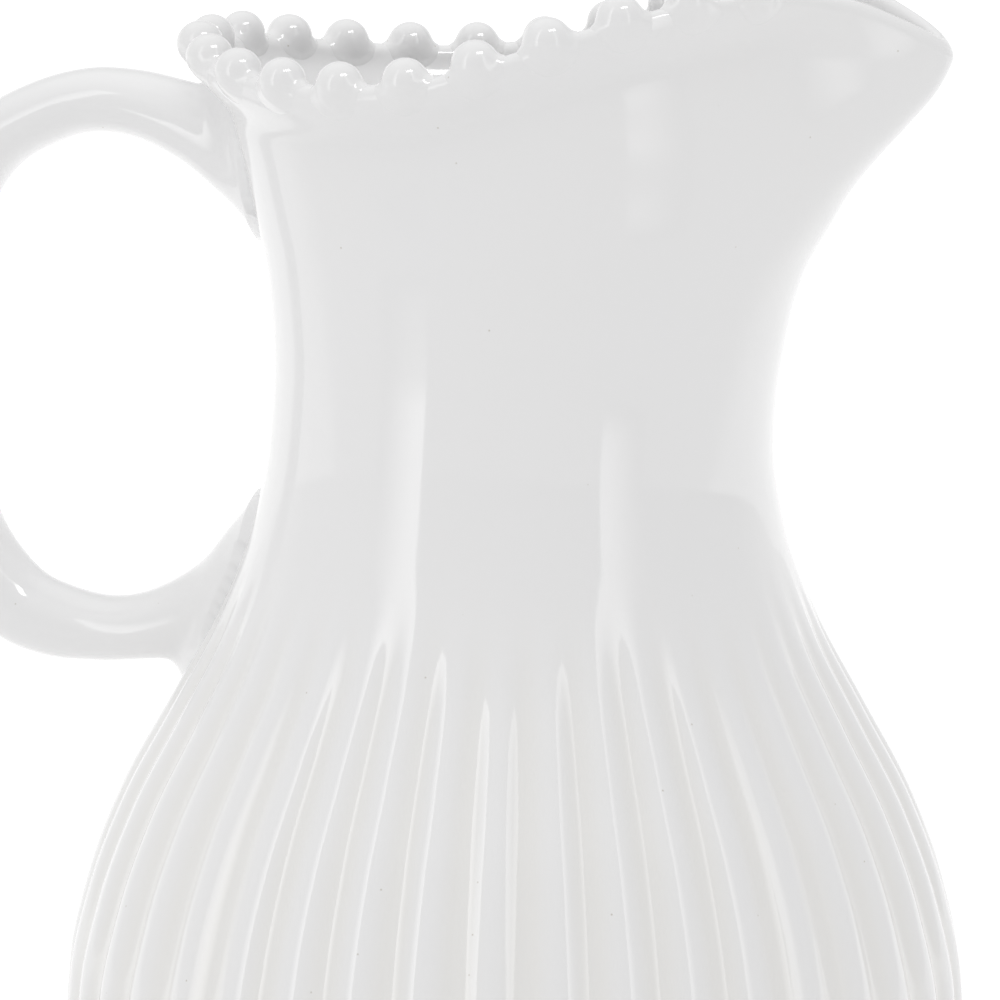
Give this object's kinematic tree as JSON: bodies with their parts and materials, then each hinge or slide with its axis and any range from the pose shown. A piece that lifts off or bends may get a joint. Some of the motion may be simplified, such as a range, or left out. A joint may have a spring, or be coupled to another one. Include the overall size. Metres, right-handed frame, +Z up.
{
  "type": "ceramic pitcher",
  "caption": "Tall white glazed pitcher with a fluted round belly, waisted neck, pulled spout, loop handle and a row of pearl beads along the rim.",
  "frame": {"origin": "centre of the round foot, on the surface the pitcher stands on", "axes": "+Z up along the body's axis, +X towards the spout's tip, -X towards the handle; the pitcher is symmetric about the XZ plane"},
  "size_m": [0.1901, 0.1558, 0.2377],
  "materials": {
    "white_glaze": "white gloss glaze over stoneware"
  },
  "bodies": {
    "root": {"pitcher_body": "white_glaze", "handle": "white_glaze", "rim_bead_01": "white_glaze", "rim_bead_02": "white_glaze", "rim_bead_03": "white_glaze", "rim_bead_04": "white_glaze", "rim_bead_05": "white_glaze", "rim_bead_06": "white_glaze", "rim_bead_07": "white_glaze", "rim_bead_08": "white_glaze", "rim_bead_09": "white_glaze", "rim_bead_10": "white_glaze", "rim_bead_11": "white_glaze", "rim_bead_12": "white_glaze", "rim_bead_13": "white_glaze", "rim_bead_14": "white_glaze", "rim_bead_15": "white_glaze", "rim_bead_16": "white_glaze", "rim_bead_17": "white_glaze", "rim_bead_18": "white_glaze", "rim_bead_19": "white_glaze", "rim_bead_20": "white_glaze", "rim_bead_21": "white_glaze", "rim_bead_22": "white_glaze", "rim_bead_23": "white_glaze"}
  },
  "joints": []
}
